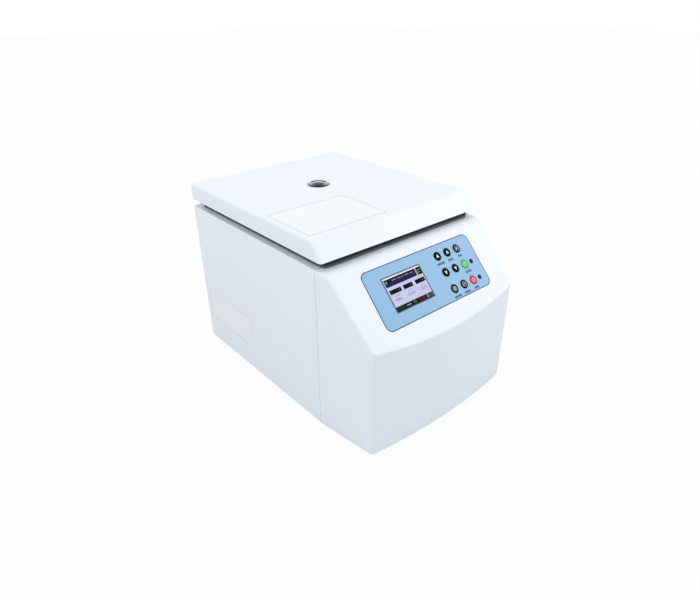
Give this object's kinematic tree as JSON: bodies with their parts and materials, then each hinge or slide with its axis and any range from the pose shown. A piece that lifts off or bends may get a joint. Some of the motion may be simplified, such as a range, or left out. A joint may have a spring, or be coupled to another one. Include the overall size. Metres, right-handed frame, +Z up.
{
  "type": "microplate centrifuge",
  "caption": "Bench centrifuge for microplates with a hinged lid, sight glass, sloping control panel and swing-out rotor",
  "frame": {"origin": "middle of the footprint, on the plane of the feet", "axes": "+X to the operator's right, +Y to the rear, +Z up"},
  "size_m": [0.4, 0.575, 0.3868],
  "materials": {
    "white_enamel": "fine powder coat, white with a blue cast",
    "white_moulding": "smooth white moulding",
    "panel_blue": "light blue printed polyester film",
    "display": "display glass over a grey-lilac screen",
    "key_black": "satin black",
    "key_green": "satin green",
    "key_red": "satin red",
    "lamp": "dark lamp lens, unlit",
    "frame_grey": "dark grey moulded surround",
    "stainless": "spun stainless steel",
    "zinc_steel": "zinc plated sheet",
    "chrome": "polished",
    "rotor_alloy": "turned and anodised",
    "motor_case": "ribbed casting",
    "rubber": "matt black rubber",
    "black_plastic": "moulded black",
    "board": "green circuit board",
    "brass": "contact blades",
    "sight_glass": "smoked glass",
    "liner_grey": "painted inner plate"
  },
  "bodies": {
    "root": {"base_plate": "zinc_steel", "cabinet_wrap": "white_enamel", "front_housing": "white_moulding", "chassis_top": "zinc_steel", "chassis_posts": "zinc_steel", "guard_ring": "zinc_steel", "deck_frame": "frame_grey", "chamber_bowl": "stainless", "chamber_seal": "rubber", "shaft_boot": "rubber", "motor_housing": "motor_case", "motor_bearings": "chrome", "motor_plate": "zinc_steel", "motor_dampers": "rubber", "control_board": "board", "display_module": "display", "keypad_overlay": "panel_blue", "status_lamps": "lamp", "lock_housing": "black_plastic", "lock_solenoid": "zinc_steel", "fan_frame": "black_plastic", "power_inlet": "black_plastic", "inlet_blades": "brass", "switch_frame": "black_plastic", "drive_bracket": "zinc_steel", "drive_board": "board", "rubber_feet": "rubber", "foot_screws": "zinc_steel", "hinge_brackets": "zinc_steel", "hinge_pins": "chrome", "rear_screws": "zinc_steel"},
    "lid": {"lid_shell": "white_enamel", "lid_liner": "liner_grey", "sight_ring": "chrome", "sight_lens": "sight_glass", "sight_nut": "black_plastic", "hinge_arms": "zinc_steel", "lid_striker": "chrome"},
    "rotor": {"motor_shaft": "chrome", "rotor_yoke": "rotor_alloy", "rotor_nut": "rotor_alloy", "trunnion_pins": "chrome"},
    "left_carrier": {"carrier_left": "rotor_alloy", "carrier_pad_left": "rubber"},
    "right_carrier": {"carrier_right": "rotor_alloy", "carrier_pad_right": "rubber"},
    "bolt": {"lock_bolt": "chrome"},
    "rocker": {"power_rocker": "black_plastic"},
    "fan": {"fan_wheel": "black_plastic"},
    "plug": {"release_plug": "white_moulding"},
    "button_speed_up": {"key_speed_up": "key_black"},
    "button_time_up": {"key_time_up": "key_black"},
    "button_menu": {"key_menu": "key_black"},
    "button_speed_down": {"key_speed_down": "key_black"},
    "button_time_down": {"key_time_down": "key_black"},
    "button_start": {"key_start": "key_green"},
    "button_program": {"key_program": "key_black"},
    "button_mode": {"key_mode": "key_black"},
    "button_stop": {"key_stop": "key_red"}
  },
  "joints": [
    {"name": "lid_hinge", "type": "hinge", "parent": "root", "child": "lid", "pos_m": [0, 0.2805, 0.3415], "axis": [-1, 0, 0], "range_deg": [0, 75]},
    {"name": "rotor_spin", "type": "hinge", "parent": "root", "child": "rotor", "pos_m": [0, 0.09747, 0.2], "axis": [0, 0, 1], "continuous": true},
    {"name": "left_carrier_swing", "type": "hinge", "parent": "rotor", "child": "left_carrier", "pos_m": [-0.06999, 0.09747, 0.29601], "axis": [0, 1, 0], "range_deg": [0, 90]},
    {"name": "right_carrier_swing", "type": "hinge", "parent": "rotor", "child": "right_carrier", "pos_m": [0.06999, 0.09747, 0.29601], "axis": [0, -1, 0], "range_deg": [0, 90]},
    {"name": "press_speed_up", "type": "slide", "parent": "root", "child": "button_speed_up", "axis": [0, 0.7242, -0.6896], "range_m": [0, 0.0006], "stiffness_N_per_m": 1000, "springref_m": -0.0003},
    {"name": "press_time_up", "type": "slide", "parent": "root", "child": "button_time_up", "axis": [0, 0.7242, -0.6896], "range_m": [0, 0.0006], "stiffness_N_per_m": 1000, "springref_m": -0.0003},
    {"name": "press_menu", "type": "slide", "parent": "root", "child": "button_menu", "axis": [0, 0.7242, -0.6896], "range_m": [0, 0.0006], "stiffness_N_per_m": 1000, "springref_m": -0.0003},
    {"name": "press_speed_down", "type": "slide", "parent": "root", "child": "button_speed_down", "axis": [0, 0.7242, -0.6896], "range_m": [0, 0.0006], "stiffness_N_per_m": 1000, "springref_m": -0.0003},
    {"name": "press_time_down", "type": "slide", "parent": "root", "child": "button_time_down", "axis": [0, 0.7242, -0.6896], "range_m": [0, 0.0006], "stiffness_N_per_m": 1000, "springref_m": -0.0003},
    {"name": "press_start", "type": "slide", "parent": "root", "child": "button_start", "axis": [0, 0.7242, -0.6896], "range_m": [0, 0.0006], "stiffness_N_per_m": 1000, "springref_m": -0.0003},
    {"name": "press_program", "type": "slide", "parent": "root", "child": "button_program", "axis": [0, 0.7242, -0.6896], "range_m": [0, 0.0006], "stiffness_N_per_m": 1000, "springref_m": -0.0003},
    {"name": "press_mode", "type": "slide", "parent": "root", "child": "button_mode", "axis": [0, 0.7242, -0.6896], "range_m": [0, 0.0006], "stiffness_N_per_m": 1000, "springref_m": -0.0003},
    {"name": "press_stop", "type": "slide", "parent": "root", "child": "button_stop", "axis": [0, 0.7242, -0.6896], "range_m": [0, 0.0006], "stiffness_N_per_m": 1000, "springref_m": -0.0003},
    {"name": "bolt_slide", "type": "slide", "parent": "root", "child": "bolt", "axis": [-1, 0, 0], "range_m": [0, 0.016]},
    {"name": "rocker_tip", "type": "hinge", "parent": "root", "child": "rocker", "pos_m": [-0.07, 0.2775, 0.066], "axis": [1, 0, 0], "range_deg": [0, 16]},
    {"name": "fan_spin", "type": "hinge", "parent": "root", "child": "fan", "pos_m": [0.11, 0.2705, 0.092], "axis": [0, 1, 0], "continuous": true},
    {"name": "plug_pull", "type": "slide", "parent": "root", "child": "plug", "axis": [1, 0, 0], "range_m": [0, 0.015]}
  ]
}
